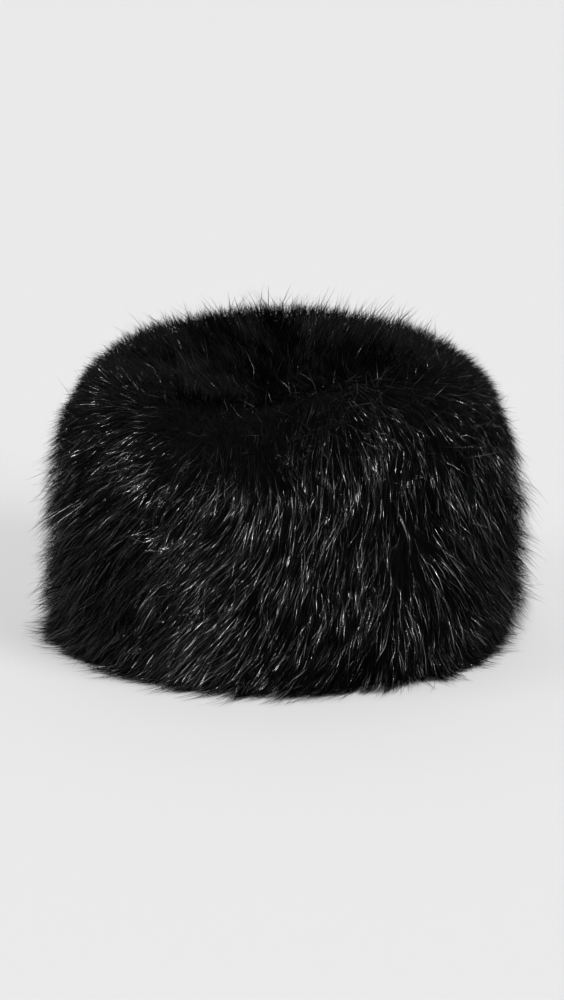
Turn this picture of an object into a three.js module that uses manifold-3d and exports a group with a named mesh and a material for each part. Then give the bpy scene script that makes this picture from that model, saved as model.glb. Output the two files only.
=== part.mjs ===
// A deep-pile fur pillbox hat, in millimetres, standing on its rim with +Z up and the front towards -Y.
// It is two pieces of fur fabric: a side band that rises from the rim and turns in over a soft shoulder,
// and an oval crown tip that closes the top. Each is a cloth backing with a dense pile, and the long hair
// stands out of the pile in overlapping locks.
import * as THREE from "three";
import Module from "manifold-3d";

const wasm = await Module();
wasm.setup();

const radians = THREE.MathUtils.degToRad;

// Head opening: an oval with a girth of 580, a little wider than deep as the empty hat lies.
const OPENING_WIDE = 98.5; // half width, along X
const OPENING_DEEP = 86; // half depth, along Y

// The fabric, measured outwards from the inner face of the hat.
const BACKING = 3;
const PILE = 12;
const FABRIC = BACKING + PILE;

// The inner face goes straight up, then turns in over the shoulder as a quarter of an ellipse.
const WALL_TOP = 98;
const SHOULDER_IN = 14;
const SHOULDER_UP = 40;
const TIP_UNDERSIDE = WALL_TOP + SHOULDER_UP;
const SHOULDER_LENGTH = (Math.PI / 2) * Math.hypot(SHOULDER_IN, SHOULDER_UP) * Math.SQRT1_2;
const SIDE_LENGTH = WALL_TOP + SHOULDER_LENGTH;

// The crown tip is sewn in where the shoulder ends. Its pile dips a little towards the middle.
const SEAM_GAP = 0.4;
const TIP_DISH = 5;
const TIP_WIDE = OPENING_WIDE - SHOULDER_IN - SEAM_GAP;
const TIP_DEEP = OPENING_DEEP - SHOULDER_IN - SEAM_GAP;

// Steps round the hat, up the wall and over the shoulder.
const AROUND = 40;
const WALL_STEPS = 3;
const SHOULDER_STEPS = 5;
const TIP_RINGS = [1, 0.8, 0.5]; // shares of the way from the middle to the seam

// How the unsupported crown has settled: how far its edge has risen at each azimuth. An azimuth of 0 is
// the front and 90 is towards +X. All angles in the tables are in degrees.
const SETTLED = [
  { azimuth: -180, rise: 1 },
  { azimuth: -140, rise: -1 },
  { azimuth: -95, rise: -6 },
  { azimuth: -50, rise: -6 },
  { azimuth: -15, rise: -6 },
  { azimuth: 20, rise: 1 },
  { azimuth: 60, rise: 0 },
  { azimuth: 100, rise: -7 },
  { azimuth: 140, rise: -2 },
  { azimuth: 180, rise: 1 },
];

// How the hair is combed sideways, as the angle from straight down towards +X when seen from the front.
const COMBED = [
  { azimuth: -180, upper: 0, lower: 0 },
  { azimuth: -100, upper: -25, lower: -20 },
  { azimuth: -50, upper: -50, lower: -30 },
  { azimuth: -15, upper: -22, lower: -36 },
  { azimuth: 20, upper: -4, lower: -24 },
  { azimuth: 50, upper: 6, lower: 8 },
  { azimuth: 100, upper: 14, lower: 18 },
  { azimuth: 180, upper: 0, lower: 0 },
];

// Rows of locks up the side, by distance along the inner face from the rim. lift is the angle between a
// lock's root and the fabric, and curl is how far its end bends back to it, as a share of its length.
const SIDE_ROWS = [
  { along: 14, count: 23, length: 23, width: 37, lift: 52, curl: 0 },
  { along: 36, count: 23, length: 33, width: 38, lift: 35, curl: 0 },
  { along: 60, count: 23, length: 42, width: 37, lift: 25, curl: 0 },
  { along: 84, count: 22, length: 44, width: 35, lift: 24, curl: 0.03 },
  { along: 107, count: 21, length: 43, width: 34, lift: 27, curl: 0.2 },
  { along: 127, count: 19, length: 40, width: 33, lift: 36, curl: 0.5 },
  { along: 140, count: 17, length: 30, width: 30, lift: 46, curl: 0.8 },
];

// Rings of locks on the crown tip, by share of the way from the middle to the seam.
const TIP_ROWS = [
  { share: 0.84, count: 13, length: 29, width: 30, lift: 36, curl: 0.15 },
  { share: 0.54, count: 9, length: 28, width: 29, lift: 32, curl: 0.08 },
  { share: 0.2, count: 4, length: 24, width: 27, lift: 32, curl: 0.05 },
];
const TIP_COMBED_ROUND = 115; // from straight out, so that the locks stay over the tip

const LOCK_THICK = 9;
const LOCK_ROOT = 6; // how deep a lock's root lies in the pile
const LOCK_FROM_SEAM = 1;

// Sections along a lock, as shares of its length, width and thickness. keel is the share of its height
// above the pile that its underside is filled in by.
const LOCK_SECTIONS = [
  { at: 0, wide: 0.55, thick: 0.8, keel: 0 },
  { at: 0.38, wide: 1, thick: 1, keel: 1.2 },
  { at: 0.74, wide: 0.62, thick: 0.55, keel: 1.1 },
];
const LOCK_CORNERS = 4;
const VARY_LENGTH = 0.16;
const VARY_TURN = 9; // degrees

const FLOOR_CLEAR = 0.8; // no lock reaches lower than this
const FLOOR_EASE = 5; // and it is bent up from this far above
const REACH = 33; // nor further out from the head opening than this
const REACH_EASE = 0.015; // as a share of the hat's half width
const SMALLEST_EDGE = 0.2;

// A value that comes no lower than the limit, and is eased towards it over the last of the way.
function keptAbove(value, limit, ease) {
  return value > limit + ease ? value : limit + ease * Math.exp((value - limit - ease) / ease);
}

// A repeatable random number up to the most either way, for each lock of a row.
function vary(row, index, salt, most) {
  const value = Math.sin(row * 127.1 + index * 311.7 + salt * 74.7) * 43758.5453;
  return (2 * (value - Math.floor(value)) - 1) * most;
}

// A column of a table of azimuths, at any azimuth in radians.
function lookUp(table, column, azimuth) {
  const degrees = THREE.MathUtils.euclideanModulo(THREE.MathUtils.radToDeg(azimuth) + 180, 360) - 180;
  const next = Math.max(table.findIndex((row) => row.azimuth >= degrees), 1);
  const [low, high] = [table[next - 1], table[next]];
  const t = THREE.MathUtils.smoothstep(degrees, low.azimuth, high.azimuth);
  return THREE.MathUtils.lerp(low[column], high[column], t);
}

// A point of the section, as its distance out from the head opening and its height, with the direction of
// the fabric's outer side. along runs up the inner face from the rim, and offset goes out through the fabric.
function section(along, offset) {
  if (along <= WALL_TOP) return { out: offset, height: along, normalOut: 1, normalUp: 0 };
  const turn = ((along - WALL_TOP) / SHOULDER_LENGTH) * (Math.PI / 2);
  const normal = new THREE.Vector2(Math.cos(turn) / SHOULDER_IN, Math.sin(turn) / SHOULDER_UP).normalize();
  return {
    out: SHOULDER_IN * (Math.cos(turn) - 1) + offset * normal.x,
    height: WALL_TOP + SHOULDER_UP * Math.sin(turn) + offset * normal.y,
    normalOut: normal.x,
    normalUp: normal.y,
  };
}

// A place round the hat at that distance out from the head opening.
function place(out, height, azimuth) {
  const rise = lookUp(SETTLED, "rise", azimuth) * (height / TIP_UNDERSIDE) ** 2;
  const x = (OPENING_WIDE + out) * Math.sin(azimuth);
  const y = -(OPENING_DEEP + out) * Math.cos(azimuth);
  return new THREE.Vector3(x, y, height + rise);
}

function outwards(out, azimuth) {
  const x = (OPENING_DEEP + out) * Math.sin(azimuth);
  const y = -(OPENING_WIDE + out) * Math.cos(azimuth);
  return new THREE.Vector3(x, y, 0).normalize();
}

// A place on the crown tip at that share of the way out to the seam.
function tipPlace(share, height, azimuth) {
  const rise = lookUp(SETTLED, "rise", azimuth) * share * (height / TIP_UNDERSIDE) ** 2;
  const x = TIP_WIDE * share * Math.sin(azimuth);
  const y = -TIP_DEEP * share * Math.cos(azimuth);
  return new THREE.Vector3(x, y, height + rise);
}

// Height of the crown tip's pile, which is level with the side band's at the seam.
function tipHeight(share) {
  return TIP_UNDERSIDE + FABRIC - TIP_DISH * (1 - share * share);
}

// A closed solid from its points and triangles.
function solid(points, triangles) {
  const vertProperties = new Float32Array(points.flatMap((p) => [p.x, p.y, p.z]));
  const triVerts = new Uint32Array(triangles.flat());
  return new wasm.Manifold(new wasm.Mesh({ numProp: 3, vertProperties, triVerts }));
}

// The two triangles of a four-sided face whose corners go round it anticlockwise, seen from outside.
function quad(a, b, c, d) {
  return [
    [a, b, c],
    [a, c, d],
  ];
}

function azimuthOf(step) {
  return (2 * Math.PI * step) / AROUND;
}

// The side band without its locks: backing and pile in one wall, flat underneath where it stands.
function sideWall() {
  const steps = [];
  for (let i = 0; i <= WALL_STEPS; i++) steps.push((WALL_TOP * i) / WALL_STEPS);
  for (let i = 1; i <= SHOULDER_STEPS; i++) steps.push(WALL_TOP + (SHOULDER_LENGTH * i) / SHOULDER_STEPS);
  const inner = steps.map((along) => section(along, 0));
  const outer = steps.map((along) => section(along, FABRIC));
  const outline = [...inner, ...outer.reverse()];
  const count = outline.length;
  const points = [];
  const triangles = [];
  for (let i = 0; i < AROUND; i++) {
    points.push(...outline.map((p) => place(p.out, p.height, azimuthOf(i))));
    const here = i * count;
    const next = ((i + 1) % AROUND) * count;
    for (let j = 0; j < count; j++) {
      const k = (j + 1) % count;
      triangles.push(...quad(here + j, here + k, next + k, next + j));
    }
  }
  return solid(points, triangles);
}

// The crown tip without its locks: rings from its underside's edge, up its side and in over the pile.
function tipPanel() {
  const rings = [
    { share: 1, height: TIP_UNDERSIDE },
    ...TIP_RINGS.map((share) => ({ share, height: tipHeight(share) })),
  ];
  const points = [];
  for (const r of rings) {
    for (let i = 0; i < AROUND; i++) points.push(tipPlace(r.share, r.height, azimuthOf(i)));
  }
  const bottom = points.push(tipPlace(0, TIP_UNDERSIDE, 0)) - 1;
  const top = points.push(tipPlace(0, tipHeight(0), 0)) - 1;
  const last = (rings.length - 1) * AROUND;
  const triangles = [];
  for (let i = 0; i < AROUND; i++) {
    const j = (i + 1) % AROUND;
    triangles.push([bottom, j, i]);
    for (let r = 0; r < last; r += AROUND) {
      triangles.push(...quad(r + i, r + j, r + AROUND + j, r + AROUND + i));
    }
    triangles.push([last + i, last + j, top]);
  }
  return solid(points, triangles);
}

// A point moved inside the hat's reach and above the floor.
function keptIn(point) {
  const far = Math.hypot(point.x / (OPENING_WIDE + REACH), point.y / (OPENING_DEEP + REACH));
  const nearer = -keptAbove(-far, -1, REACH_EASE) / far;
  return point.set(point.x * nearer, point.y * nearer, keptAbove(point.z, FLOOR_CLEAR, FLOOR_EASE));
}

// One lock: a flattened spike on a curved spine. root is on the pile's surface, normal points out of it
// and way is the direction along the surface that the hair is combed in.
function lock(root, normal, way, row, length) {
  const heading = way.clone().multiplyScalar(Math.cos(radians(row.lift)));
  heading.addScaledVector(normal, Math.sin(radians(row.lift)));
  const across = new THREE.Vector3().crossVectors(normal, way).normalize();
  const spine = (t) => {
    const point = root.clone().addScaledVector(normal, -LOCK_ROOT);
    point.addScaledVector(heading, (length + LOCK_ROOT) * t);
    return point.addScaledVector(normal, -row.curl * length * t * t);
  };
  const points = [];
  for (const s of LOCK_SECTIONS) {
    const along = spine(s.at + 0.01).sub(spine(s.at)).normalize();
    const up = new THREE.Vector3().crossVectors(along, across).normalize();
    const side = (row.width / 2) * s.wide;
    const half = (LOCK_THICK / 2) * s.thick;
    const above = Math.max(spine(s.at).sub(root).dot(normal), 0);
    points.push(
      spine(s.at).addScaledVector(across, side),
      spine(s.at).addScaledVector(up, half),
      spine(s.at).addScaledVector(across, -side),
      spine(s.at).addScaledVector(up, -half).addScaledVector(normal, -above * s.keel),
    );
  }
  const tip = points.push(spine(1)) - 1;
  const last = (LOCK_SECTIONS.length - 1) * LOCK_CORNERS;
  const triangles = quad(3, 2, 1, 0);
  for (let i = 0; i < LOCK_CORNERS; i++) {
    const j = (i + 1) % LOCK_CORNERS;
    for (let r = 0; r < last; r += LOCK_CORNERS) {
      triangles.push(...quad(r + i, r + j, r + LOCK_CORNERS + j, r + LOCK_CORNERS + i));
    }
    triangles.push([last + i, last + j, tip]);
  }
  return solid(points.map(keptIn), triangles);
}

// The space over the crown tip's backing, as an upright oval block grown all round by that much.
function overTip(grow) {
  const [low, high] = [TIP_UNDERSIDE + BACKING, TIP_UNDERSIDE + 5 * FABRIC];
  const wide = TIP_WIDE + grow;
  const deep = TIP_DEEP + grow;
  const points = [new THREE.Vector3(0, 0, low), new THREE.Vector3(0, 0, high)];
  const triangles = [];
  for (let i = 0; i < AROUND; i++) {
    const [x, y] = [wide * Math.sin(azimuthOf(i)), -deep * Math.cos(azimuthOf(i))];
    points.push(new THREE.Vector3(x, y, low), new THREE.Vector3(x, y, high));
    const here = 2 + 2 * i;
    const next = 2 + 2 * ((i + 1) % AROUND);
    triangles.push([0, next, here], [1, here + 1, next + 1], ...quad(here, next, next + 1, here + 1));
  }
  return solid(points, triangles);
}

function sideLocks() {
  const besideSeam = overTip(SEAM_GAP + LOCK_FROM_SEAM);
  const locks = [];
  SIDE_ROWS.forEach((row, r) => {
    for (let i = 0; i < row.count; i++) {
      const azimuth = (2 * Math.PI * (i + 0.5 * (r % 2) + vary(r, i, 1, 0.18))) / row.count;
      const at = section(row.along, FABRIC);
      const out = outwards(at.out, azimuth);
      const normal = out.clone().multiplyScalar(at.normalOut).setZ(at.normalUp);
      const down = out.clone().multiplyScalar(at.normalUp).setZ(-at.normalOut);
      const round = new THREE.Vector3().crossVectors(normal, down);
      const upper = lookUp(COMBED, "upper", azimuth);
      const lower = lookUp(COMBED, "lower", azimuth);
      const combed = THREE.MathUtils.lerp(lower, upper, row.along / SIDE_LENGTH);
      const angle = radians(combed + vary(r, i, 2, VARY_TURN));
      const way = down.multiplyScalar(Math.cos(angle)).addScaledVector(round, Math.sin(angle));
      const length = row.length * (1 + vary(r, i, 3, VARY_LENGTH));
      locks.push(lock(place(at.out, at.height, azimuth), normal, way, row, length).subtract(besideSeam));
    }
  });
  return locks;
}

function tipLocks() {
  const up = new THREE.Vector3(0, 0, 1);
  const insideSeam = overTip(-LOCK_FROM_SEAM);
  const locks = [];
  TIP_ROWS.forEach((row, r) => {
    for (let i = 0; i < row.count; i++) {
      const azimuth = (2 * Math.PI * (i + 0.5 * (r % 2) + vary(r, i, 4, 0.15))) / row.count;
      const turn = radians(TIP_COMBED_ROUND + vary(r, i, 5, VARY_TURN));
      const way = new THREE.Vector3(Math.sin(azimuth), -Math.cos(azimuth), 0).applyAxisAngle(up, turn);
      const length = row.length * (1 + vary(r, i, 6, VARY_LENGTH));
      const root = tipPlace(row.share, tipHeight(row.share), azimuth);
      locks.push(lock(root, up, way, row, length).intersect(insideSeam));
    }
  });
  return locks;
}

// The outer skin of a wall and its locks joined together. Pockets closed in between the locks are filled.
function joined(wall, locks) {
  const shells = wasm.Manifold.union([wall, ...locks]).simplify(SMALLEST_EDGE).decompose();
  return shells.reduce((largest, shell) => (shell.volume() > largest.volume() ? shell : largest));
}

// A named mesh of a solid.
function meshOf(name, made, material) {
  const data = made.getMesh();
  const geometry = new THREE.BufferGeometry();
  geometry.setAttribute("position", new THREE.BufferAttribute(data.vertProperties, 3));
  geometry.setIndex(new THREE.BufferAttribute(data.triVerts, 1));
  geometry.computeVertexNormals();
  const mesh = new THREE.Mesh(geometry, material);
  mesh.name = name;
  return mesh;
}

const blackFur = new THREE.MeshStandardMaterial({ color: 0x0b0b0d, roughness: 0.6, metalness: 0 });

const hat = new THREE.Group();
hat.add(meshOf("side_band", joined(sideWall(), sideLocks()), blackFur));
hat.add(meshOf("crown_tip", joined(tipPanel(), tipLocks()), blackFur.clone()));

export default hat;
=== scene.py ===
"""A pillbox hat in black long-pile faux fur, standing on its rim on a pale studio floor.

Metres, +Z up, with the front of the hat towards -Y. An azimuth of 0 is the front and 90 is towards +X.
"""
import math

import bmesh
import bpy
import numpy as np
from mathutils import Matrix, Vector
from mathutils.kdtree import KDTree


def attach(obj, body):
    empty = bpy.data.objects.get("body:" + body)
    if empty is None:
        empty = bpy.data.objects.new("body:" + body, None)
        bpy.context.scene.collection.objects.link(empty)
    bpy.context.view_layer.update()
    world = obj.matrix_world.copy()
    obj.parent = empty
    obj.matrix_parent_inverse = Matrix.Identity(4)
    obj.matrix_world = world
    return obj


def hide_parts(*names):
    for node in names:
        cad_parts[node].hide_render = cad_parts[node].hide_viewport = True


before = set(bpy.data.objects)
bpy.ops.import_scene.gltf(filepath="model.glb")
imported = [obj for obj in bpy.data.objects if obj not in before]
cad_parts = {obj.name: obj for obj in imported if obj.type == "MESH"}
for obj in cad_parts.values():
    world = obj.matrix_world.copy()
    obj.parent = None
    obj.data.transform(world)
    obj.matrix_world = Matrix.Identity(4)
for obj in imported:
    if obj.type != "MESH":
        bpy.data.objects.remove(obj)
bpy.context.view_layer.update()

MM = 0.001
FULL_TURN = 2 * math.pi

# The cut of the hat, as its fabric's inner face: an oval opening, a straight wall and a curved shoulder.
OPENING_WIDE = 98.5 * MM
OPENING_DEEP = 86 * MM
WALL_TOP = 98 * MM
SHOULDER_IN = 14 * MM
SHOULDER_UP = 40 * MM
SHOULDER_LENGTH = math.pi / 2 * math.hypot(SHOULDER_IN, SHOULDER_UP) * math.sqrt(0.5)
SIDE_LENGTH = WALL_TOP + SHOULDER_LENGTH
TIP_UNDERSIDE = WALL_TOP + SHOULDER_UP
SEAM_GAP = 0.4 * MM
TIP_WIDE = OPENING_WIDE - SHOULDER_IN - SEAM_GAP
TIP_DEEP = OPENING_DEEP - SHOULDER_IN - SEAM_GAP
TIP_DISH = 5 * MM
BACKING = 3 * MM
PILE = 9 * MM
FABRIC = BACKING + PILE

# How far the empty hat's crown has settled or risen round its edge, in millimetres.
SETTLED = [
    # azimuth, rise
    (-180, 1),
    (-140, -1),
    (-95, -6),
    (-50, -6),
    (-15, -6),
    (20, 1),
    (60, 0),
    (100, -7),
    (140, -2),
    (180, 1),
]

# Which way the hair is combed, in degrees from straight down the cloth, towards greater azimuths.
COMBED_UP = (3, 18, 42, 63, 85, 104, 121, 136)
COMBED = [
    # azimuth, angle at each of those distances up the cloth in millimetres
    (-180, 6, 6, 6, 2, 0, 4, 6, 10),
    (-145, -12, -16, -14, -12, -10, -8, -6, 0),
    (-115, -30, -30, -26, -26, -24, -22, -24, -26),
    (-88, -32, -26, -22, -20, -18, -18, -26, -46),
    (-70, -48, -42, -30, -28, -20, -14, -22, -55),
    (-60, -50, -40, -22, -28, -24, -18, -26, -48),
    (-44, -52, -38, -22, -16, -32, -42, -38, -60),
    (-32, -52, -42, -36, -32, -32, -32, -30, 35),
    (-21, -45, -47, -42, -34, -42, -18, -14, 42),
    (-11, -48, -50, -52, -50, -58, -32, 6, 34),
    (-1, -48, -46, -42, -26, -36, -8, 22, 12),
    (9, -55, -58, -32, -10, -34, -26, -8, -10),
    (19, -44, -50, -36, -18, -14, -22, -10, 22),
    (29, -28, -34, -6, -36, -50, -24, -28, 26),
    (41, 0, 0, -16, 28, 30, 0, -22, 18),
    (56, 34, 32, 6, 30, 4, -20, -18, 26),
    (75, 42, 42, 36, 38, 26, 12, 6, 26),
    (100, 36, 34, 30, 24, 18, 14, 14, 18),
    (130, -8, -12, -10, -4, 2, 4, 0, -14),
    (155, -4, -4, -6, -10, -8, -2, 2, 4),
    (180, 6, 6, 6, 2, 0, 4, 6, 10),
]

# How much further up the shoulder the lying hair of the side begins, in millimetres.
CREST = [
    # azimuth, rise
    (-180, 0),
    (-95, 0),
    (-64, 10),
    (-42, 2),
    (-30, -4),
    (-12, 3),
    (8, 26),
    (20, 29),
    (38, 18),
    (64, 8),
    (100, 0),
    (180, 0),
]

# The share of glossy hairs round the side, against that of the pile's own table.
GLOSS_AROUND = [
    # azimuth, share
    (-180, 0.8),
    (-75, 1.1),
    (-45, 1.05),
    (-20, 1),
    (0, 0.85),
    (20, 1),
    (34, 0.62),
    (50, 0.6),
    (75, 0.75),
    (180, 0.8),
]

# Partings and pits, where one sees down into the pile, and wider places where the hair is short.
PARTED = [
    # azimuth, height in mm, width, height over which it runs, share of the hair's length left
    (34, 88, 8, 26, 0.35),
    (-32, 119, 12, 9, 0.4),
    (-2, 66, 5, 8, 0.5),
    (22, 34, 5, 8, 0.5),
    (85, 0, 50, 24, 0.52),
    (-90, 130, 60, 14, 0.78),
    (90, 130, 60, 14, 0.74),
]

# Where the hair stands further out from the cloth, and how much shorter or longer it is there.
OUTSTANDING = [
    # azimuth, height in mm, width, height over which it runs, degrees further out, share of length
    (-59, 104, 26, 19, 44, 0.68),
    (-91, 62, 22, 66, 50, 0.64),
    (-80, 12, 30, 18, 14, 1.14),
    (84, 20, 26, 18, 12, 1.12),
    (95, 70, 22, 70, 18, 0.86),
]

# How the pile of the side stands, by millimetres up from the rim along the cloth. Angles are from the cloth.
PILE_OF_SIDE = [
    # up, hair length in mm, angle at the root, angle at the tip, share of glossy hairs, painted light: how
    # far the hair is painted lighter up the shoulder, where its pile lies in shade
    (0, 27, 59, 22, 0.34, 0),
    (10, 26, 56, 20, 0.35, 0),
    (22, 30, 54, 18, 0.34, 0),
    (34, 34, 54, 16, 0.31, 0),
    (50, 36, 53, 14, 0.31, 0),
    (88, 35, 51, 13, 0.31, 0),
    (106, 30, 54, 14, 0.3, 0.1),
    (120, 22, 62, 26, 0.18, 0.3),
    (134, 16, 76, 46, 0.1, 0.55),
    (146, 14, 84, 64, 0.07, 0.7),
]
LENGTH, ROOT_ANGLE, END_ANGLE, GLOSSY, PAINTED_LIGHT_SHARE = range(1, 6)


def table_column(table, column):
    return np.array([row[column] for row in table], float)


def between(stops, place):
    """The stop above each place, and how far the place is towards it, eased at both ends."""
    stops = np.asarray(stops, float)
    high = np.clip(np.searchsorted(stops, place), 1, len(stops) - 1)
    share = np.clip((place - stops[high - 1]) / (stops[high] - stops[high - 1]), 0, 1)
    return high, share * share * (3 - 2 * share)


def turned_degrees(azimuth):
    return (np.degrees(azimuth) + 180) % 360 - 180


def smooth_lookup(table, azimuth):
    """The second column of a table, at azimuths in radians."""
    high, share = between(table_column(table, 0), turned_degrees(azimuth))
    values = table_column(table, 1)
    return values[high - 1] + (values[high] - values[high - 1]) * share


def by_height(place, column):
    """A column of the side's pile, at distances up the cloth in millimetres."""
    return np.interp(place, table_column(PILE_OF_SIDE, 0), table_column(PILE_OF_SIDE, column))


def unit(vectors):
    return vectors / np.maximum(np.linalg.norm(vectors, axis=-1, keepdims=True), 1e-12)


def stacked(x, y, z):
    return np.stack(np.broadcast_arrays(x, y, z), axis=-1)


# Shape of the fabric


def settled_rise(azimuth, height):
    return smooth_lookup(SETTLED, azimuth) * MM * (height / TIP_UNDERSIDE) ** 2


def band_section(along, offset):
    """Distance out from the opening, height, and the fabric's outward direction, along the side band."""
    turn = np.clip((along - WALL_TOP) / SHOULDER_LENGTH, 0, 1) * math.pi / 2
    normal_out = np.cos(turn) / SHOULDER_IN
    normal_up = np.sin(turn) / SHOULDER_UP
    size = np.hypot(normal_out, normal_up)
    normal_out = normal_out / size
    normal_up = normal_up / size
    out = SHOULDER_IN * (np.cos(turn) - 1) + offset * normal_out
    height = np.minimum(along, WALL_TOP) + SHOULDER_UP * np.sin(turn) + offset * normal_up
    return out, height, normal_out, normal_up


def band_place(along, azimuth, offset):
    """Points of the side band, with their outward, downward and sideways directions."""
    out, height, normal_out, normal_up = band_section(along, offset)
    wide = OPENING_WIDE + out
    deep = OPENING_DEEP + out
    point = stacked(wide * np.sin(azimuth), -deep * np.cos(azimuth), height + settled_rise(azimuth, height))
    outward = unit(stacked(deep * np.sin(azimuth), -wide * np.cos(azimuth), 0 * out))
    normal = outward * normal_out[:, None]
    normal[:, 2] = normal_up
    down = outward * normal_up[:, None]
    down[:, 2] = -normal_out
    return point, normal, down, np.cross(normal, down)


def leaning(along):
    """How far the cloth leans in from upright, at places up the side."""
    _, _, normal_out, normal_up = band_section(along, 0 * along)
    return np.arctan2(normal_up, normal_out)


def tip_place(share, azimuth, offset):
    """Points over the crown tip, at that share of the way from its middle to its seam."""
    height = TIP_UNDERSIDE + offset - TIP_DISH * (1 - share ** 2) * (offset > BACKING)
    return stacked(
        TIP_WIDE * share * np.sin(azimuth),
        -TIP_DEEP * share * np.cos(azimuth),
        height + settled_rise(azimuth, height) * share,
    )


# Finishes

# Colours of the fibres, the underfur, the backing and the floor. The second fibre colour is painted light: a
# lighter black for the hair of the shoulder and crown, where the pile lies in shade.
HAIR_BLACK = (0.0007, 0.0007, 0.0008)
HAIR_PAINTED_LIGHT = (0.0085, 0.0085, 0.0093)
UNDERFUR_BLACK = (0.0024, 0.0024, 0.0027)
YARN_DARK = (0.012, 0.012, 0.013)
YARN_LIGHT = (0.03, 0.03, 0.032)
FLOOR_TONE = (0.582, 0.582, 0.582)

# Roughness and specular level of a dull fibre and of a glossy one, and the level that an export may use.
FIBRE_ROUGHNESS = (0.34, 0.14)
FIBRE_SPECULAR = (0.0035, 0.92)
FALLBACK_SPECULAR = 0.25
FIBRE_IOR = 1.55

# How closely the underfur's strands and the backing's knitted rows follow each other.
UNDERFUR_STRANDS = (900, 900, 160)
KNIT_ROWS = 190


def new_material(name):
    material = bpy.data.materials.new(name)
    material.use_nodes = True
    nodes = material.node_tree.nodes
    return material, nodes, material.node_tree.links, nodes["Principled BSDF"]


def mapped(nodes, links, value, ends):
    """A number that goes from one end to the other as the value goes from 0 to 1."""
    node = nodes.new("ShaderNodeMapRange")
    node.inputs["To Min"].default_value = ends[0]
    node.inputs["To Max"].default_value = ends[1]
    links.new(value, node.inputs["Value"])
    return node.outputs["Result"]


def blended(nodes, links, value, dark, light):
    """A colour that goes from dark to light as the value goes from 0 to 1."""
    ramp = nodes.new("ShaderNodeValToRGB")
    ramp.color_ramp.elements[0].color = (*dark, 1)
    ramp.color_ramp.elements[1].color = (*light, 1)
    links.new(value, ramp.inputs["Fac"])
    return ramp.outputs["Color"]


def raised(nodes, links, value, strength, distance):
    """Bump that follows the value."""
    bump = nodes.new("ShaderNodeBump")
    bump.inputs["Strength"].default_value = strength
    bump.inputs["Distance"].default_value = distance
    links.new(value, bump.inputs["Height"])
    return bump.outputs["Normal"]


def hair_finish():
    """Black fibre, dull or glossy from hair to hair, with painted light: lighter towards the crown, where
    the pile lies in shade.
    """
    material, nodes, links, shader = new_material("black_hair")
    strand = nodes.new("ShaderNodeAttribute")
    strand.attribute_name = "strand"
    parts = nodes.new("ShaderNodeSeparateXYZ")
    links.new(strand.outputs["Vector"], parts.inputs[0])
    shine = parts.outputs["X"]
    # Painted light: the fibre colour goes lighter with each hair's painted-light number, to lift the shade
    # of the crown's pile.
    colour = blended(nodes, links, parts.outputs["Y"], HAIR_BLACK, HAIR_PAINTED_LIGHT)
    links.new(colour, shader.inputs["Base Color"])
    links.new(mapped(nodes, links, shine, FIBRE_ROUGHNESS), shader.inputs["Roughness"])
    shader.inputs["Specular IOR Level"].default_value = FALLBACK_SPECULAR
    links.new(mapped(nodes, links, shine, FIBRE_SPECULAR), shader.inputs["Specular IOR Level"])
    shader.inputs["IOR"].default_value = FIBRE_IOR
    return material


def underfur_finish():
    """The dense underfur that shows between the long hairs."""
    material, nodes, links, shader = new_material("dense_pile")
    shader.inputs["Base Color"].default_value = (*UNDERFUR_BLACK, 1)
    shader.inputs["Roughness"].default_value = 0.9
    shader.inputs["Specular IOR Level"].default_value = 0.05
    places = nodes.new("ShaderNodeTexCoord")
    stretch = nodes.new("ShaderNodeMapping")
    stretch.inputs["Scale"].default_value = UNDERFUR_STRANDS
    noise = nodes.new("ShaderNodeTexNoise")
    noise.inputs["Scale"].default_value = 1.0
    noise.inputs["Detail"].default_value = 3.0
    links.new(places.outputs["Object"], stretch.inputs["Vector"])
    links.new(stretch.outputs["Vector"], noise.inputs["Vector"])
    links.new(raised(nodes, links, noise.outputs["Fac"], 0.8, 1.2 * MM), shader.inputs["Normal"])
    return material


def backing_finish(name, across):
    """The knitted ground of the fabric, seen inside the hat, its rows crossing that axis."""
    material, nodes, links, shader = new_material(name)
    shader.inputs["Roughness"].default_value = 0.88
    shader.inputs["Specular IOR Level"].default_value = 0.25
    places = nodes.new("ShaderNodeTexCoord")
    rows = nodes.new("ShaderNodeTexWave")
    rows.bands_direction = across
    rows.inputs["Scale"].default_value = KNIT_ROWS
    rows.inputs["Distortion"].default_value = 1.2
    rows.inputs["Detail"].default_value = 2.0
    rows.inputs["Detail Scale"].default_value = 3.0
    links.new(places.outputs["Object"], rows.inputs["Vector"])
    colour = blended(nodes, links, rows.outputs["Fac"], YARN_DARK, YARN_LIGHT)
    links.new(colour, shader.inputs["Base Color"])
    links.new(raised(nodes, links, rows.outputs["Fac"], 0.6, 0.6 * MM), shader.inputs["Normal"])
    return material


def floor_finish():
    material, _, _, shader = new_material("studio_floor")
    shader.inputs["Roughness"].default_value = 0.95
    shader.inputs["Specular IOR Level"].default_value = 0.1
    shader.inputs["Base Color"].default_value = (*FLOOR_TONE, 1)
    return material


black_hair = hair_finish()
dense_pile = underfur_finish()
knit_backing = backing_finish("knit_backing", "Z")
knit_backing_tip = backing_finish("knit_backing_tip", "X")

# Cloth

# Both pieces are spun as a round drum and then put in their places on the oval.
DRUM_RADIUS = 0.1
DRUM_HEIGHT = 1.0
WALL_ROWS = 14
SHOULDER_ROWS = 12
BAND_STEPS = 96
TIP_STEPS = 72
TIP_RINGS = 14
MERGE_DISTANCE = 1e-6


def placed(name, mesh):
    piece = bpy.data.objects.new(name, mesh)
    bpy.context.scene.collection.objects.link(piece)
    return piece


def finished(name, bm, *materials):
    mesh = bpy.data.meshes.new(name)
    bm.to_mesh(mesh)
    bm.free()
    for material in materials:
        mesh.materials.append(material)
    return placed(name, mesh)


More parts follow.
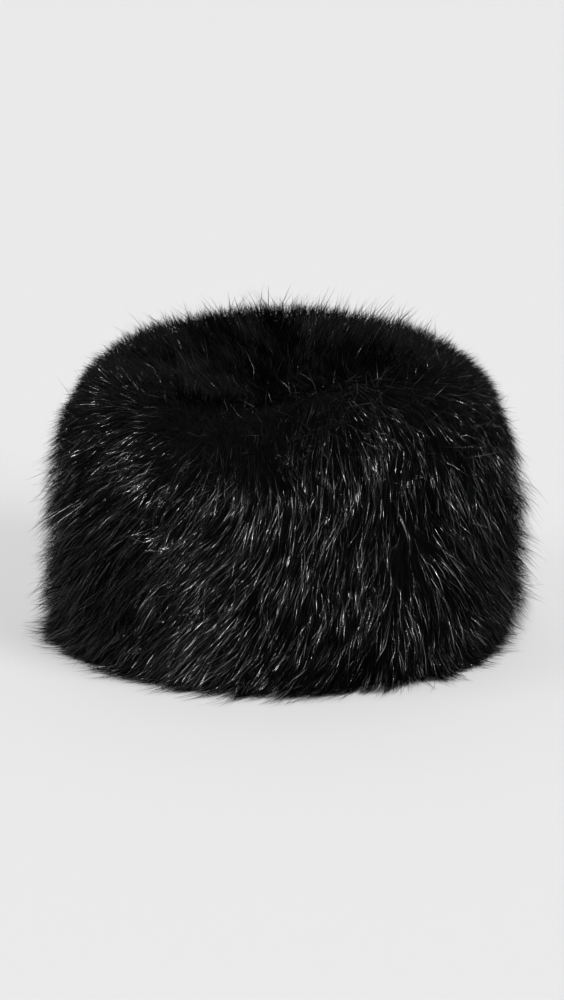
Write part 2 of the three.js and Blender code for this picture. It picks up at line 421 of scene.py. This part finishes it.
def revolve(outline, steps, closed):
    """A bmesh spun from an outline of (distance from the axis, height)."""
    bm = bmesh.new()
    verts = [bm.verts.new((0, -out, height)) for out, height in outline]
    for a, b in zip(verts, verts[1:]):
        bm.edges.new((a, b))
    if closed:
        bm.edges.new((verts[-1], verts[0]))
    bmesh.ops.spin(
        bm, geom=bm.verts[:] + bm.edges[:], axis=(0, 0, 1), cent=(0, 0, 0), angle=FULL_TURN,
        steps=steps, use_merge=True, use_duplicate=False,
    )
    bmesh.ops.remove_doubles(bm, verts=bm.verts[:], dist=MERGE_DISTANCE)
    bmesh.ops.recalc_face_normals(bm, faces=bm.faces[:])
    for face in bm.faces:
        face.smooth = True
    return bm


def band_cloth():
    """The side band: backing inside, underfur outside, from the flat rim to the seam at the tip."""
    along = np.concatenate([
        np.linspace(0, WALL_TOP, WALL_ROWS + 1),
        WALL_TOP + SHOULDER_LENGTH * np.arange(1, SHOULDER_ROWS + 1) / SHOULDER_ROWS,
    ])
    inner_out, inner_height, _, _ = band_section(along, 0 * along)
    outer_out, outer_height, _, _ = band_section(along, FABRIC + 0 * along)
    outline = list(zip(inner_out, inner_height)) + list(zip(outer_out, outer_height))[::-1]
    bm = revolve([(DRUM_RADIUS + out, height) for out, height in outline], BAND_STEPS, True)
    for face in bm.faces:
        spot = face.calc_center_median()
        inside = face.normal.dot(Vector((spot.x, spot.y, 0))) < 0
        face.material_index = 1 if inside else 0
    for vert in bm.verts:
        azimuth = math.atan2(vert.co.x, -vert.co.y)
        out = math.hypot(vert.co.x, vert.co.y) - DRUM_RADIUS
        rise = float(settled_rise(np.array([azimuth]), vert.co.z)[0])
        vert.co = Vector((
            (OPENING_WIDE + out) * math.sin(azimuth),
            -(OPENING_DEEP + out) * math.cos(azimuth),
            vert.co.z + rise,
        ))
    return finished("band_cloth", bm, dense_pile, knit_backing)


def tip_cloth():
    """The oval tip: a flat underside in the backing and a dished top in the underfur."""
    shares = np.linspace(0, 1, TIP_RINGS + 1)
    outline = [(share * DRUM_RADIUS, 0.0) for share in shares]
    outline += [(share * DRUM_RADIUS, DRUM_HEIGHT) for share in shares[::-1]]
    bm = revolve(outline, TIP_STEPS, False)
    for face in bm.faces:
        underneath = face.calc_center_median().z < DRUM_HEIGHT / 4
        face.material_index = 1 if underneath else 0
    for vert in bm.verts:
        azimuth = math.atan2(vert.co.x, -vert.co.y)
        share = math.hypot(vert.co.x, vert.co.y) / DRUM_RADIUS
        offset = FABRIC if vert.co.z > DRUM_HEIGHT / 2 else 0.0
        vert.co = Vector(tip_place(np.array([share]), np.array([azimuth]), offset)[0])
    return finished("tip_cloth", bm, dense_pile, knit_backing_tip)


cloth = [(band_cloth(), "side_band"), (tip_cloth(), "crown_tip")]

# Lie of the hair

# The radius of a round hat of about this girth, for turning azimuths into distances along the side.
SIDE_RADIUS = 115 * MM
WAVES = 7
WAVES_HEIGHT = 2.6


def combed_angle(azimuth, along):
    """The comb direction at places on the side, in radians."""
    chart = np.array([row[1:] for row in COMBED], float)
    turn, across = between(table_column(COMBED, 0), turned_degrees(azimuth))
    level, up = between(COMBED_UP, along / MM)
    lower = chart[turn - 1, level - 1] * (1 - across) + chart[turn, level - 1] * across
    upper = chart[turn - 1, level] * (1 - across) + chart[turn, level] * across
    return np.radians(lower + (upper - lower) * up)


def nearness(azimuth, height, turn, middle, wide, tall):
    """From 1 at a place on the side down to 0 well away from it."""
    across = (azimuth - math.radians(turn)) * SIDE_RADIUS / MM
    return np.exp(-((across / wide) ** 2) - ((height / MM - middle) / tall) ** 2)


def parted(azimuth, height):
    """The share of its length that each hair keeps near the partings."""
    share = np.ones(len(azimuth))
    for *place, left in PARTED:
        share *= 1 - (1 - left) * nearness(azimuth, height, *place)
    return share


def outstanding(azimuth, height):
    """How much further out each hair stands, in radians, and the share of its length that it has."""
    further = np.zeros(len(azimuth))
    share = np.ones(len(azimuth))
    for *place, degrees, left in OUTSTANDING:
        near = nearness(azimuth, height, *place)
        further += math.radians(degrees) * near
        share *= 1 - (1 - left) * near
    return further, share


def waves(azimuth, height, seed, scale):
    """A smooth random value from about -1 to 1 over the side, varying over that distance."""
    pick = np.random.default_rng(seed)
    total = 0
    for _ in range(WAVES):
        across = round(pick.uniform(-1, 1) * FULL_TURN * SIDE_RADIUS / scale)
        up = pick.uniform(-1, 1) * FULL_TURN / scale
        total = total + np.sin(across * azimuth + up * height + pick.uniform(0, FULL_TURN))
    return total / WAVES_HEIGHT


# Coats of hair

HAIR_SEED = 5
draw = np.random.default_rng(HAIR_SEED)

ROOT_DEPTH = 1 * MM
FLOOR_CLEAR = 0.6 * MM
FLOOR_EASE = 6 * MM
LEAST_BEND = 0.01

# How a tuft draws its hairs together: how much the pull differs, its most, and how close the ends come.
PULL_SPREAD = 0.2
PULL_MOST = 0.95
ENDS_GATHERED = 0.8


class Coat:
    """Hairs to be grown: a row each of root, outward direction, comb direction and numbers."""

    def __init__(self, root, normal, comb, **numbers):
        self.root = root
        self.normal = normal
        self.comb = comb
        for key, value in numbers.items():
            setattr(self, key, np.broadcast_to(np.asarray(value, float), len(root)).copy())

    def __len__(self):
        return len(self.root)

    def path(self, t):
        """Where each hair is at that share of its length, before it joins its tuft.

        A hair leaves its root at one angle from the cloth and bends evenly to another at its tip.
        """
        bend = self.lift_tip - self.lift_root
        bend = np.where(np.abs(bend) < LEAST_BEND, LEAST_BEND, bend)
        turned = self.lift_root + bend * t
        along = (np.sin(turned) - np.sin(self.lift_root)) / bend
        out = (np.cos(self.lift_root) - np.cos(turned)) / bend
        across = np.cross(self.normal, self.comb)
        shift = self.comb * along[:, None] + self.normal * out[:, None]
        shift = shift + across * (self.sway * t ** 2)[:, None]
        shift[:, 2] -= self.droop * t ** 2
        return shift * self.length[:, None]


def tufted(coat, places, spacing, share):
    """Paths of the coat's hairs, each drawn towards the hair in the middle of its tuft."""
    count = len(coat)
    leaders = draw.choice(count, max(1, int(count / spacing)), replace=False)
    tree = KDTree(len(leaders))
    for i, leader in enumerate(leaders):
        tree.insert(coat.root[leader], i)
    tree.balance()
    lead = leaders[[tree.find(root)[1] for root in coat.root]]
    apart = coat.root - coat.root[lead]
    scale = (coat.length / coat.length[lead])[:, None]
    pull = np.clip(share + draw.normal(0, PULL_SPREAD, count), 0, PULL_MOST)[:, None]
    paths = []
    for t in places:
        shift = coat.path(t)
        own = coat.root + shift
        together = coat.root[lead] + apart * (1 - ENDS_GATHERED * t) + shift[lead] * scale
        paths.append(own + (together - own) * pull * t)
    return np.stack(paths, axis=1)


def eased(value, limit, ease):
    """The value, brought smoothly to stay above the limit."""
    start = limit + ease
    below = np.minimum(value, start) - start
    return np.where(value > start, value, limit + ease * np.exp(below / ease))


def kept_off_floor(paths):
    paths[:, :, 2] = eased(paths[:, :, 2], FLOOR_CLEAR, FLOOR_EASE)
    return paths


# Single hairs differ: most end together and a few reach past them.
SHORTEST = 0.68
SHORTER_SPREAD = 0.3
LONG_SHARE = 0.1
LONG_FROM = 1.02

# How glossy a glossy hair is and a dull one, and how far a stray hair's gloss is taken down.
GLOSSY_SHINE = (0.45, 1)
DULL_SHINE = (0, 0.02)
STRAY_SHINE = 0.65

# Angles from the cloth of stray hairs, in radians.
STRAY_ROOT = (0.6, 1.2)
STRAY_END = (0.1, 0.9)

# How much single hairs differ in angle, in radians, and in sway, as shares of their length.
ROOT_SPREAD = 0.12
END_SPREAD = 0.16
TIP_END_SPREAD = 0.2
SWAY_SPREAD = 0.1

# How far the ends of the hairs droop, as shares of their length: the least, and how much more at most.
SIDE_DROOP = (0.03, 0.05)
TIP_DROOP = (0.02, 0.04)


def uneven(count, longest):
    """Shares of full length: most hairs end together and a few reach past them."""
    share = SHORTEST + SHORTER_SPREAD * np.sqrt(draw.random(count))
    return np.where(draw.random(count) < LONG_SHARE, draw.uniform(LONG_FROM, longest, count), share)


def shines(glossy):
    """How glossy each hair is, from 0 to 1, where that share of the hairs are glossy and the rest dull."""
    count = len(glossy)
    is_glossy = draw.random(count) < glossy
    return np.where(is_glossy, draw.uniform(*GLOSSY_SHINE, count), draw.uniform(*DULL_SHINE, count))


def droops(least, more, count):
    return least + more * draw.random(count)


def strays(coat, share, glossy, spread, kept):
    """Turns a share of the hairs by up to the spread, and makes a share of those a little glossy."""
    count = len(coat)
    stray = draw.random(count) < share
    way = draw.uniform(-spread, spread, count)
    across = np.cross(coat.normal, coat.comb)
    loose = coat.comb * np.cos(way)[:, None] + across * np.sin(way)[:, None]
    coat.comb = np.where(stray[:, None], loose, coat.comb)
    coat.lift_root = np.where(stray, draw.uniform(*STRAY_ROOT, count), coat.lift_root)
    coat.lift_tip = np.where(stray, draw.uniform(*STRAY_END, count), coat.lift_tip)
    coat.shine = np.where(stray, STRAY_SHINE * shines(np.full(count, glossy)), coat.shine)
    coat.length = np.where(stray, kept * coat.length, coat.length)


# Patches of the side, each over its own distance: comb direction in radians, lift in radians, and gloss.
COMB_SEED = 3
COMB_PATCH = 24 * MM
COMB_SWING = 0.12
LIFT_SEED = 4
LIFT_PATCH = 22 * MM
LIFT_SWING = 0.16
GLOSS_SEED = 9
GLOSS_PATCH = 16 * MM
GLOSS_SWING = 0.45
GLOSS_LIMITS = (0.2, 2)

# Single hairs of the side: how far loose ones and the rest turn from the comb, in radians.
LOOSE_SHARE = 0.18
LOOSE_TURN = 0.5
LAID_TURN = 0.15

# The crest comes in over this stretch up the cloth, in millimetres.
CREST_FROM = 70
CREST_OVER = 30

# Where the hair still falls with the curve of the shoulder, and where it stands free, in millimetres.
LIES_BELOW = 108
STANDS_ABOVE = 130

# Where hairs stand further out: the share of it that their roots take, and how much more they differ there.
ROOT_FOLLOWS = 0.3
OUTSTANDING_ROOT_SPREAD = 0.15
OUTSTANDING_END_SPREAD = 0.35

# The longest hairs, as shares of full length, at the rim and further up.
RIM_HEIGHT = 26
LONGEST_AT_RIM = 1.6
LONGEST_OF_SIDE = 1.22


def combed(azimuth, along, height):
    """The comb angle of each hair of the side, with its unevenness."""
    count = len(azimuth)
    angle = combed_angle(azimuth, along)
    angle = angle + waves(azimuth, height, COMB_SEED, COMB_PATCH) * COMB_SWING
    loose = draw.random(count) < LOOSE_SHARE
    return angle + np.where(loose, draw.normal(0, LOOSE_TURN, count), draw.normal(0, LAID_TURN, count))


def glossy_share(azimuth, height, place):
    """The share of glossy hairs at places on the side."""
    patches = np.clip(1 + GLOSS_SWING * waves(azimuth, height, GLOSS_SEED, GLOSS_PATCH), *GLOSS_LIMITS)
    return by_height(place, GLOSSY) * smooth_lookup(GLOSS_AROUND, azimuth) * patches


def band_coat(count, low, high, denser):
    """Hairs of the side band between two places up the cloth, denser towards the lower one."""
    along = low + (high - low) * draw.random(count) ** denser
    azimuth = draw.uniform(-math.pi, math.pi, count)
    root, normal, down, around = band_place(along, azimuth, FABRIC - ROOT_DEPTH)
    height = root[:, 2]
    angle = combed(azimuth, along, height)
    swell = waves(azimuth, height, LIFT_SEED, LIFT_PATCH) * LIFT_SWING
    place = along / MM
    place = place - smooth_lookup(CREST, azimuth) * np.clip((place - CREST_FROM) / CREST_OVER, 0, 1)
    further, kept = outstanding(azimuth, height)
    parting = parted(azimuth, height)
    longest = np.interp(place, (0, RIM_HEIGHT), (LONGEST_AT_RIM, LONGEST_OF_SIDE))
    length = by_height(place, LENGTH) * MM * uneven(count, longest) * parting * kept
    fall = leaning(along) - leaning(np.maximum(along - length * np.cos(angle), 0))
    fall = fall * np.interp(place, (LIES_BELOW, STANDS_ABOVE), (1, 0))
    coat = Coat(
        root, normal,
        comb=down * np.cos(angle)[:, None] + around * np.sin(angle)[:, None],
        length=length,
        lift_root=np.radians(by_height(place, ROOT_ANGLE)) + swell + ROOT_FOLLOWS * further,
        lift_tip=np.radians(by_height(place, END_ANGLE)) + swell + further - fall,
        sway=draw.normal(0, SWAY_SPREAD, count),
        droop=droops(*SIDE_DROOP, count),
        shine=shines(glossy_share(azimuth, height, place) * parting),
        # Painted light: hair up the shoulder is painted lighter, where its pile lies in shade.
        painted_light=by_height(place, PAINTED_LIGHT_SHARE),
    )
    coat.lift_root += draw.normal(0, ROOT_SPREAD + OUTSTANDING_ROOT_SPREAD * further, count)
    coat.lift_tip += draw.normal(0, END_SPREAD + OUTSTANDING_END_SPREAD * further, count)
    coat.azimuth = np.degrees(azimuth)
    return coat


# The pile of the tip: its angle from the cloth in degrees, less this at the sides and that over the edge.
TIP_HAIR_LENGTH = 17 * MM
TIP_ROOT_ANGLES = (84, 16, 24)
TIP_END_ANGLES = (66, 24, 36)
LONGEST_OF_TIP = 1.75
TIP_GLOSSY = 0.05
TIP_SHINE = 0.7
# How much less painted light, a lighter fibre colour for the shaded crown, the tip's hair has at its sides.
LESS_PAINTED_LIGHT_ASIDE = 0.4

# Whorls of the tip's pile: how far they run, how much they turn the hair, and how much single hairs turn.
WHORL_SEED = 8
WHORL_PATCH = 60 * MM
WHORL_TURN = 0.9
TIP_LOOSE_TURN = 0.6
TIP_RADIUS = 80 * MM

# How the pile leans over the tip's edge: how near the edge it begins, and how much of it the back has.
EDGE_POWER = 4
LEAN_AT_BACK = 0.35
FULL_LEAN_FROM = 0.3

# How the tip's cloth falls away at its sides and its front, and how far forward all of its hair is combed.
FALL_ASIDE = 0.2
FALL_AHEAD = 0.1
LEAST_AHEAD = 0.1


def tip_lift(angles, aslant, over_edge):
    """The angle of the tip's hair from the cloth, in radians."""
    middle, less_aslant, less_over_edge = angles
    return np.radians(middle - less_aslant * aslant - less_over_edge * over_edge)


def tip_coat(count):
    """Hairs of the crown tip, upright in its middle and leaning outward over its edge."""
    share = np.sqrt(draw.random(count))
    azimuth = draw.uniform(-math.pi, math.pi, count)
    aside = np.sin(azimuth)
    ahead = np.cos(azimuth)
    root = tip_place(share, azimuth, FABRIC - ROOT_DEPTH)
    normal = unit(stacked(FALL_ASIDE * share * aside, -FALL_AHEAD * share * ahead, 1.0))
    turn = waves(azimuth, share * TIP_RADIUS, WHORL_SEED, WHORL_PATCH) * WHORL_TURN
    turn = turn + draw.normal(0, TIP_LOOSE_TURN, count)
    aslant = share * np.abs(aside)
    over_edge = share ** EDGE_POWER * np.interp(ahead, (-1, FULL_LEAN_FROM), (LEAN_AT_BACK, 1))
    outward = stacked(aside, -np.maximum(ahead, LEAST_AHEAD), 0)
    across = stacked(-outward[:, 1], outward[:, 0], 0)
    comb = outward * np.cos(turn)[:, None] + across * np.sin(turn)[:, None]
    coat = Coat(
        root, normal,
        comb=unit(comb - normal * (comb * normal).sum(1)[:, None]),
        length=TIP_HAIR_LENGTH * uneven(count, LONGEST_OF_TIP),
        lift_root=tip_lift(TIP_ROOT_ANGLES, aslant, over_edge) + draw.normal(0, ROOT_SPREAD, count),
        lift_tip=tip_lift(TIP_END_ANGLES, aslant, over_edge) + draw.normal(0, TIP_END_SPREAD, count),
        sway=draw.normal(0, SWAY_SPREAD, count),
        droop=droops(*TIP_DROOP, count),
        shine=TIP_SHINE * shines(np.full(count, TIP_GLOSSY)),
        # Painted light: the tip's hair is painted lighter for the shade in the crown's pile, less so at its
        # sides.
        painted_light=1 - LESS_PAINTED_LIGHT_ASIDE * aslant,
    )
    coat.azimuth = np.degrees(azimuth)
    return coat


# Hairs as meshes

# A fibre is a flattened oval: its width and thickness against a round one, and how far its face is curved.
SIDES = 3
FIBRE_WIDTH = 1.3
FIBRE_THICKNESS = 0.6
FIBRE_CURVE = 0.45
FIBRE_TAPER = 0.8
RADIUS_SPREAD = 0.3
DULL_THICK = 0.95
GLOSSY_THICKER = 0.2

# How a flat fibre is turned about its length at its middle, and how much more from root to tip, in radians.
TWIST_AT_MIDDLE = 0.5
TWIST_RATE = 1.3

# The UV map gives each hair a cell of its own, six times as long as it is wide, with an empty margin.
CELL_SHAPE = 6
CELL_MARGIN_ASIDE = 0.1
CELL_MARGIN_ALONG = 0.05


def radii(coat, rings, thick):
    """The radius of each hair at its rings, towards the tip."""
    size = thick * (DULL_THICK + GLOSSY_THICKER * coat.shine)
    size = size * np.exp(draw.normal(0, RADIUS_SPREAD, len(coat)))
    return np.stack([size * FIBRE_TAPER ** ring for ring in range(rings)], axis=1)


def twists(count, places):
    """How far each flat fibre is turned about its own length, at those shares of it."""
    middle = draw.normal(0, TWIST_AT_MIDDLE, count)
    rate = draw.normal(0, TWIST_RATE, count)
    return middle[:, None] + rate[:, None] * (np.array(places) - 0.5)


def grow(coat, places, spacing, share, thick):
    """Paths, radii and twists of a coat's hairs, in tufts of about as many hairs as the spacing says."""
    paths = kept_off_floor(tufted(coat, places, spacing, share))
    radius = radii(coat, len(places) - 2, thick)
    return paths, radius, twists(len(coat), places)


def fibre_points(paths, radius, twist, normal):
    """The points of each hair, ring by ring between its two ends, and the way that each point faces."""
    count, places, _ = paths.shape
    ring_points = SIDES * (places - 2)
    tangent = unit(np.gradient(paths, axis=1, edge_order=2))
    flat = unit(np.cross(tangent, normal[:, None, :]))
    up = np.cross(flat, tangent)
    cosine = np.cos(twist)[:, :, None]
    sine = np.sin(twist)[:, :, None]
    side = flat * cosine + up * sine
    up = up * cosine - flat * sine
    corners = []
    for k in range(SIDES):
        turn = math.pi / 2 + FULL_TURN * k / SIDES
        corners.append(side * math.cos(turn) * FIBRE_WIDTH + up * math.sin(turn) * FIBRE_THICKNESS)
    around = np.stack(corners, axis=2)[:, 1:-1]
    rings = paths[:, 1:-1, None] + around * radius[:, :, None, None]
    facing = unit(up[:, 1:-1, None] + around * FIBRE_CURVE)
    rings = rings.reshape(count, ring_points, 3)
    facing = facing.reshape(count, ring_points, 3)
    points = np.concatenate([paths[:, :1], rings, paths[:, -1:]], axis=1)
    return points, np.concatenate([up[:, :1], facing, up[:, -1:]], axis=1)


def fibre_faces(rings):
    """The faces of one hair, and for each of their corners its share of the way along it and round it."""
    end = 1 + SIDES * rings
    last = end - SIDES
    faces = []
    along = []
    around = []
    for k in range(SIDES):
        j = (k + 1) % SIDES
        faces.append([0, 1 + k, 1 + j])
        along.append([0, 1, 1])
        around.append([k + 0.5, k, k + 1])
        for ring in range(1, rings):
            high = 1 + SIDES * ring
            low = high - SIDES
            faces.append([low + j, low + k, high + k, high + j])
            along.append([ring, ring, ring + 1, ring + 1])
            around.append([k + 1, k, k, k + 1])
        faces.append([last + j, last + k, end])
        along.append([rings, rings, rings + 1])
        around.append([k + 1, k, k + 0.5])
    return faces, np.concatenate(along) / (rings + 1), np.concatenate(around) / SIDES


def set_vectors(mesh, name, values):
    """Gives each point of the mesh its vector."""
    attribute = mesh.attributes.new(name, "FLOAT_VECTOR", "POINT")
    attribute.data.foreach_set("vector", values.astype(np.float32).ravel())


def lay_out(mesh, count, along, around):
    """Gives the mesh a UV map with a cell for each hair."""
    columns = math.ceil(math.sqrt(CELL_SHAPE * count))
    rows = math.ceil(count / columns)
    column = (np.arange(count) % columns)[:, None]
    row = (np.arange(count) // columns)[:, None]
    u = (column + CELL_MARGIN_ASIDE + (1 - 2 * CELL_MARGIN_ASIDE) * around) / columns
    v = (row + CELL_MARGIN_ALONG + (1 - 2 * CELL_MARGIN_ALONG) * along) / rows
    layout = mesh.uv_layers.new(name="OFBake")
    layout.uv.foreach_set("vector", np.stack([u, v], axis=-1).astype(np.float32).ravel())


def strands(name, grown, coat, chosen):
    """One mesh of the chosen hairs, closed and three-sided, that run to a point at both ends."""
    paths, radius, twist = (part[chosen] for part in grown)
    points, facing = fibre_points(paths, radius, twist, coat.normal[chosen])
    count, per_hair, _ = points.shape
    faces, along, around = fibre_faces(paths.shape[1] - 2)
    corners = np.concatenate(faces)
    first = (np.arange(count) * per_hair)[:, None]
    sizes = np.tile([len(face) for face in faces], count)
    starts = np.concatenate([[0], np.cumsum(sizes)[:-1]])

    mesh = bpy.data.meshes.new(name)
    mesh.vertices.add(count * per_hair)
    mesh.vertices.foreach_set("co", points.astype(np.float32).ravel())
    mesh.loops.add(count * len(corners))
    mesh.loops.foreach_set("vertex_index", (first + corners).astype(np.int32).ravel())
    mesh.polygons.add(len(starts))
    mesh.polygons.foreach_set("loop_start", starts.astype(np.int32))
    mesh.polygons.foreach_set("use_smooth", np.ones(len(starts), bool))
    mesh.update(calc_edges=True)

    set_vectors(mesh, "custom_normal", facing)
    lay_out(mesh, count, along, around)
    # Each hair's gloss and its painted light, the lighter colour for its shaded pile.
    finish = stacked(coat.shine[chosen], coat.painted_light[chosen], 0)
    set_vectors(mesh, "strand", np.repeat(finish, per_hair, axis=0))
    mesh.materials.append(black_hair)
    return placed(name, mesh)


def split(prefix, coat, grown, sectors):
    """One piece for each sector of azimuths, by where its hairs are rooted."""
    pieces = []
    for word, low, high in sectors:
        inside = (coat.azimuth >= low) & (coat.azimuth < high)
        if low > high:
            inside = (coat.azimuth >= low) | (coat.azimuth < high)
        pieces.append(strands(f"{prefix}_{word}", grown, coat, inside))
    return pieces


# Growing the hair

# Places along a hair, where its rings are: two between the ends of a long hair, one in a short one.
LONG_PLACES = (0.0, 0.34, 0.7, 1.0)
SHORT_PLACES = (0.0, 0.5, 1.0)
WALL_HAIRS = 46000
SHOULDER_HAIRS = 36000
TIP_HAIRS = 30000
WALL_RADIUS = 0.092 * MM
SHOULDER_RADIUS = 0.1 * MM
TIP_HAIR_RADIUS = 0.115 * MM
RIM_ROW = 1 * MM
SHOULDER_FROM = 106 * MM
QUARTERS = [("front", -45, 45), ("right", 45, 135), ("back", 135, -135), ("left", -135, -45)]
HALVES = [("front", -90, 90), ("back", 90, -90)]
WHOLE = [("top", -181, 181)]

wall_coat = band_coat(WALL_HAIRS, RIM_ROW, SHOULDER_FROM, denser=1.2)
shoulder_coat = band_coat(SHOULDER_HAIRS, SHOULDER_FROM, SIDE_LENGTH, denser=1)
top_coat = tip_coat(TIP_HAIRS)

strays(wall_coat, share=0.05, glossy=0.4, spread=0.7, kept=0.75)
strays(shoulder_coat, share=0.15, glossy=0.5, spread=math.pi, kept=1)
strays(top_coat, share=0.14, glossy=0.22, spread=math.pi, kept=1)

wall_hair = grow(wall_coat, LONG_PLACES, spacing=30, share=0.4, thick=WALL_RADIUS)
shoulder_hair = grow(shoulder_coat, SHORT_PLACES, spacing=20, share=0.32, thick=SHOULDER_RADIUS)
top_hair = grow(top_coat, SHORT_PLACES, spacing=26, share=0.5, thick=TIP_HAIR_RADIUS)

band_fur = split("wall_fur", wall_coat, wall_hair, QUARTERS)
band_fur += split("shoulder_fur", shoulder_coat, shoulder_hair, HALVES)
tip_fur = split("tip_fur", top_coat, top_hair, WHOLE)

pieces = cloth + [(piece, "side_band") for piece in band_fur] + [(piece, "crown_tip") for piece in tip_fur]
for piece, node in pieces:
    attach(piece, "root")
    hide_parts(node)

# Studio

FLOOR_REACH = 14
SKY_STRENGTH = 0.19
LIGHTS = [
    # name, azimuth, elevation, strength, how wide it is in degrees
    ("front_light", 0, 42, 3.75, 10),
    ("right_light", 52, 32, 1.5, 30),
    ("left_light", -75, 38, 0.42, 25),
    ("back_light", 180, 62, 0.35, 50),
]

# The picture in pixels, with the place in it of the point that the camera aims at.
PICTURE_WIDE = 564
PICTURE_TALL = 1000
AIM_ACROSS = 284.5
AIM_DOWN = 480
FOCAL_PIXELS = 3196
SENSOR = 36
VIEW_DISTANCE = 1.7
VIEW_ELEVATION = math.radians(17)
AIM_HEIGHT = 82.5 * MM
FAR_CLIP = 50

floor_bm = bmesh.new()
bmesh.ops.create_grid(floor_bm, x_segments=2, y_segments=2, size=FLOOR_REACH)
floor = finished("floor", floor_bm, floor_finish())

scene = bpy.context.scene
scene.view_settings.view_transform = "Standard"
world = bpy.data.worlds.new("studio")
scene.world = world
world.use_nodes = True
sky = world.node_tree.nodes["Background"]
sky.inputs["Color"].default_value = (1, 1, 1, 1)
sky.inputs["Strength"].default_value = SKY_STRENGTH


def soft_sun(name, azimuth, elevation, strength, spread):
    """A soft box far away, so that the floor is lit evenly."""
    lamp = bpy.data.lights.new(name, "SUN")
    lamp.energy = strength
    lamp.angle = math.radians(spread)
    holder = bpy.data.objects.new(name, lamp)
    turn = math.radians(azimuth)
    rise = math.radians(elevation)
    way = Vector((math.sin(turn) * math.cos(rise), -math.cos(turn) * math.cos(rise), math.sin(rise)))
    holder.rotation_euler = way.to_track_quat("Z", "Y").to_euler()
    scene.collection.objects.link(holder)


for light in LIGHTS:
    soft_sun(*light)

camera = bpy.data.objects.new("camera", bpy.data.cameras.new("camera"))
camera.data.sensor_width = SENSOR
camera.data.lens = FOCAL_PIXELS * SENSOR / PICTURE_TALL
camera.data.shift_x = (PICTURE_WIDE / 2 - AIM_ACROSS) / PICTURE_TALL
camera.data.shift_y = (AIM_DOWN - PICTURE_TALL / 2) / PICTURE_TALL
camera.data.clip_end = FAR_CLIP
camera.location = (
    0,
    -VIEW_DISTANCE * math.cos(VIEW_ELEVATION),
    AIM_HEIGHT + VIEW_DISTANCE * math.sin(VIEW_ELEVATION),
)
camera.rotation_euler = (math.pi / 2 - VIEW_ELEVATION, 0, 0)
scene.collection.objects.link(camera)
scene.camera = camera
